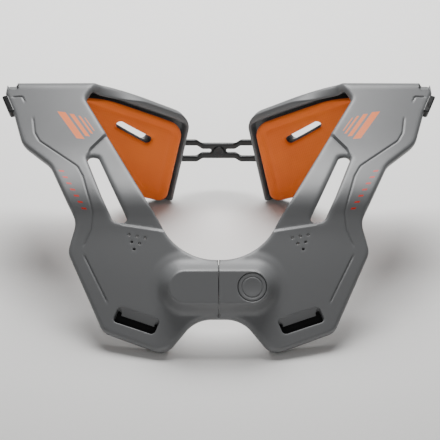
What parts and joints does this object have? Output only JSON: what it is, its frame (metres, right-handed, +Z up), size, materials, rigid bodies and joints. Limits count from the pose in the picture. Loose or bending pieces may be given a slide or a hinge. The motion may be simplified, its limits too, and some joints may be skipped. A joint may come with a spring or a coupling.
{
  "type": "motocross neck brace",
  "caption": "Saddle-shaped neck brace with mirrored half frames, a push-button front clasp, a flexible rear link, foam pads and webbing slots.",
  "frame": {"origin": "centre of the footprint on the floor, midway between the chest tips and the back of the link", "axes": "+X to the right seen from the clasp side, +Y from the clasp towards the rear link, +Z up from the floor"},
  "size_m": [0.2988, 0.242, 0.1019],
  "materials": {
    "frame": "satin grey moulded nylon",
    "button": "satin grey moulded nylon",
    "latch": "dark moulded nylon",
    "link": "satin black moulded rubber",
    "pad": "orange mesh over moulded foam",
    "liner": "black moulded foam"
  },
  "bodies": {
    "brace": {"frame_right": "frame", "frame_left": "frame", "latch_tongue": "latch", "rear_link": "link", "link_rivet_right": "latch", "link_rivet_left": "latch", "back_pad_right": "pad", "back_pad_left": "pad", "front_pad_right": "liner", "front_pad_left": "liner", "shoulder_bumper_right": "link", "shoulder_bumper_left": "link"},
    "release_button": {"release_button": "button"}
  },
  "joints": [
    {"name": "release_button_press", "type": "slide", "parent": "brace", "child": "release_button", "axis": [0, 0.8714, -0.4905], "range_m": [0, 0.002], "stiffness_N_per_m": 800}
  ]
}
